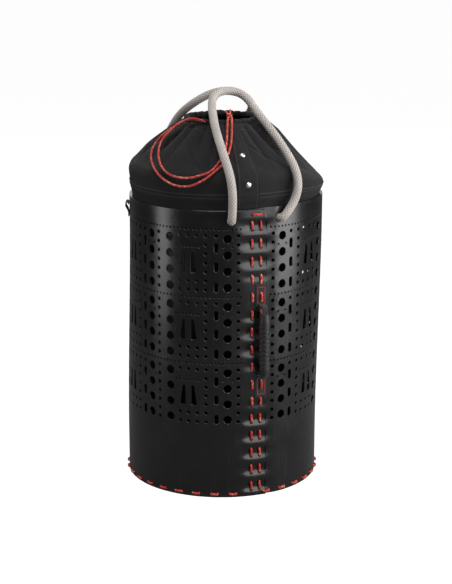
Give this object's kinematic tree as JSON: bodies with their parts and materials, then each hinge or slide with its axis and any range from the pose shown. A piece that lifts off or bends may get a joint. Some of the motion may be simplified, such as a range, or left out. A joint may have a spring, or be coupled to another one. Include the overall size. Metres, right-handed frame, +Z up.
{
  "type": "rope storage bag",
  "caption": "Upright cylindrical rope bag: perforated plastic wall laced to a base tray, canvas drawstring collar, rope carry handles and a small side grip.",
  "frame": {"origin": "centre of the underside, on the surface that the bag stands on", "axes": "+Z up along the cylinder, the laced seam and the front handle face -Y, +X to the right seen from the seam"},
  "size_m": [0.2869, 0.3117, 0.5719],
  "materials": {
    "wall": "satin black sheet",
    "tray": "matt black",
    "lace": "braided red lace with pale flecks",
    "canvas": "black coated canvas",
    "webbing": "black webbing",
    "cord": "red cord with pale flecks",
    "rope": "warm grey braided rope",
    "grip": "black ribbed sleeve",
    "rivet": "polished"
  },
  "bodies": {
    "root": {"wall_sheet": "wall", "base_tray": "tray", "base_lacing": "lace", "seam_lacing": "lace", "collar_fabric": "canvas", "collar_placket": "canvas", "collar_binding": "webbing", "collar_hem": "canvas", "drawstring_in_hem": "cord", "drawstring_outer": "cord", "drawstring_inner": "cord", "drawstring_knot": "cord", "collar_rivets": "rivet", "rivet_backs": "rivet", "inner_tie_loop": "webbing", "front_handle_knots": "rope", "rear_handle_knots": "rope", "side_handle_top_patch": "webbing", "side_handle_bottom_patch": "webbing", "side_handle_stitching": "lace", "strap_loop_left": "webbing", "strap_loop_right": "webbing"},
    "front_handle": {"front_handle_rope": "rope"},
    "rear_handle": {"rear_handle_rope": "rope"},
    "side_strap": {"side_handle_strap": "webbing"},
    "side_grip": {"side_handle_grip": "grip"}
  },
  "joints": [
    {"name": "front_handle_swing", "type": "hinge", "parent": "root", "child": "front_handle", "pos_m": [0, -0.1414, 0.404], "axis": [1, 0, 0], "range_deg": [0, 150]},
    {"name": "rear_handle_swing", "type": "hinge", "parent": "root", "child": "rear_handle", "pos_m": [0, 0.1414, 0.404], "axis": [-1, 0, 0], "range_deg": [0, 150]},
    {"name": "side_handle_swing", "type": "hinge", "parent": "root", "child": "side_strap", "pos_m": [0.0068, -0.14804, 0.2309], "axis": [0, 0, 1], "range_deg": [-45, 45]},
    {"name": "side_grip_slide", "type": "slide", "parent": "side_strap", "child": "side_grip", "axis": [0, 0, 1], "range_m": [0, 0.0055]}
  ]
}
